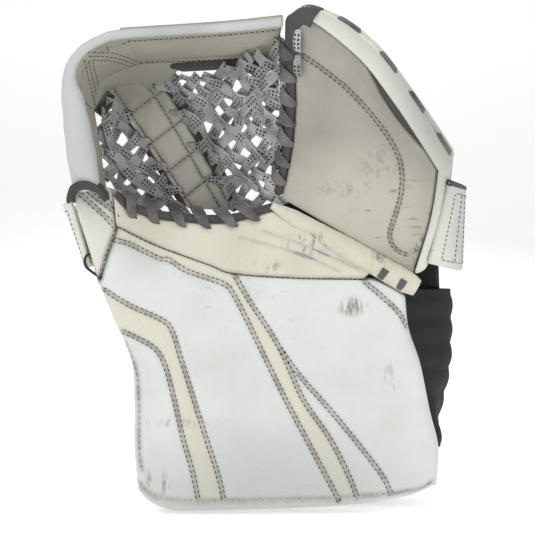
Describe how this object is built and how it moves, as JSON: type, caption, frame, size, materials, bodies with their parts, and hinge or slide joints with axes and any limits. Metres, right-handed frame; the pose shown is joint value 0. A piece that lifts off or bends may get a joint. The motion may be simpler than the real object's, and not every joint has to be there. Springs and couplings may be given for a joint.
{
  "type": "goalie catch glove",
  "caption": "Ice hockey goalie catching glove with one-piece cuff, padded palm, hinged finger section, laced T web pocket and peel-open straps.",
  "frame": {"origin": "middle of the wrist opening, where the wearer's hand enters from below", "axes": "+Z towards the finger tips, +X towards the little finger, +Y towards the back of the hand; the pocket faces -Y"},
  "size_m": [0.2438, 0.1433, 0.2906],
  "materials": {
    "white_leather": "satin",
    "cream_leather": "satin",
    "worn_leather": "matt, scuffed",
    "skate_lace": "woven",
    "dark_binding": "matt",
    "black_nylon": "woven",
    "white_webbing": "woven",
    "hook_tape": "hook and loop",
    "foam": "closed-cell foam",
    "plastic_board": "moulded sheet"
  },
  "bodies": {
    "cuff": {"backhand_cover": "white_leather", "backhand_lining": "black_nylon", "backhand_pad": "black_nylon", "break_welt": "cream_leather", "cuff_cover": "white_leather", "cuff_foam": "foam", "cuff_lining": "black_nylon", "cuff_stiffener": "plastic_board", "heel_tie_lower": "dark_binding", "heel_tie_upper": "dark_binding", "palm_cover": "cream_leather", "palm_edge_lacing": "skate_lace", "palm_felt": "foam", "palm_lining": "black_nylon", "thumb_back": "white_leather", "thumb_cover": "white_leather", "thumb_foam": "foam", "thumb_lining": "black_nylon", "thumb_stiffener": "plastic_board", "thumb_tip_binding": "dark_binding", "wrist_hook_patch": "hook_tape", "wrist_sleeve": "black_nylon"},
    "fingers": {"finger_edge_lacing": "skate_lace", "finger_face": "worn_leather", "finger_gusset": "white_leather", "finger_lace_1": "dark_binding", "finger_lace_2": "dark_binding", "finger_lace_3": "dark_binding", "finger_lace_4": "dark_binding", "finger_lining": "black_nylon", "finger_pad": "foam", "finger_shell": "white_leather", "finger_stiffener": "plastic_board", "finger_tip_binding": "dark_binding"},
    "web": {"t_wing_finger": "cream_leather", "t_wing_thumb": "cream_leather", "t_corner": "cream_leather", "t_roll": "white_leather", "t_stem_face": "cream_leather", "t_stem_stiffener": "plastic_board", "t_stem_back": "white_leather", "t_strip_thumb": "dark_binding", "t_strip_finger": "dark_binding", "web_finger": "skate_lace", "web_thumb": "skate_lace"},
    "wrist_strap": {"wrist_strap": "white_webbing", "wrist_strap_grip": "dark_binding"},
    "pinky_tab": {"pinky_tab": "white_leather"},
    "thumb_tab": {"thumb_tab": "white_leather"}
  },
  "joints": [
    {"name": "break_fold", "type": "hinge", "parent": "cuff", "child": "fingers", "pos_m": [0.035, -0.044, 0.02025], "axis": [0.8585, -0.1256, -0.4973], "range_deg": [0, 60], "stiffness_Nm_per_rad": 2, "deforming": ["t_wing_finger", "t_wing_thumb", "t_corner", "t_roll", "t_stem_face", "t_stem_stiffener", "t_stem_back", "t_strip_thumb", "t_strip_finger", "web_finger", "web_thumb", "break_welt"]},
    {"name": "web_fold", "type": "hinge", "parent": "cuff", "child": "web", "pos_m": [0.035, -0.044, 0.02025], "axis": [0.8585, -0.1256, -0.4973], "range_deg": [0, 30]},
    {"name": "wrist_strap_peel", "type": "hinge", "parent": "cuff", "child": "wrist_strap", "pos_m": [-0.09119, -0.01032, -0.072], "axis": [0, 0, 1], "range_deg": [0, 100]},
    {"name": "pinky_tab_peel", "type": "hinge", "parent": "fingers", "child": "pinky_tab", "pos_m": [0.08375, -0.06591, 0.02198], "axis": [-0.1115, 0.5927, -0.7977], "range_deg": [0, 80]},
    {"name": "thumb_tab_peel", "type": "hinge", "parent": "cuff", "child": "thumb_tab", "pos_m": [-0.1245, -0.053, 0.021], "axis": [-0.2278, -0.1519, 0.9618], "range_deg": [0, 90]}
  ],
  "couplings": [
    {"joint": "web_fold", "follows": "break_fold", "ratio": 0.5}
  ]
}
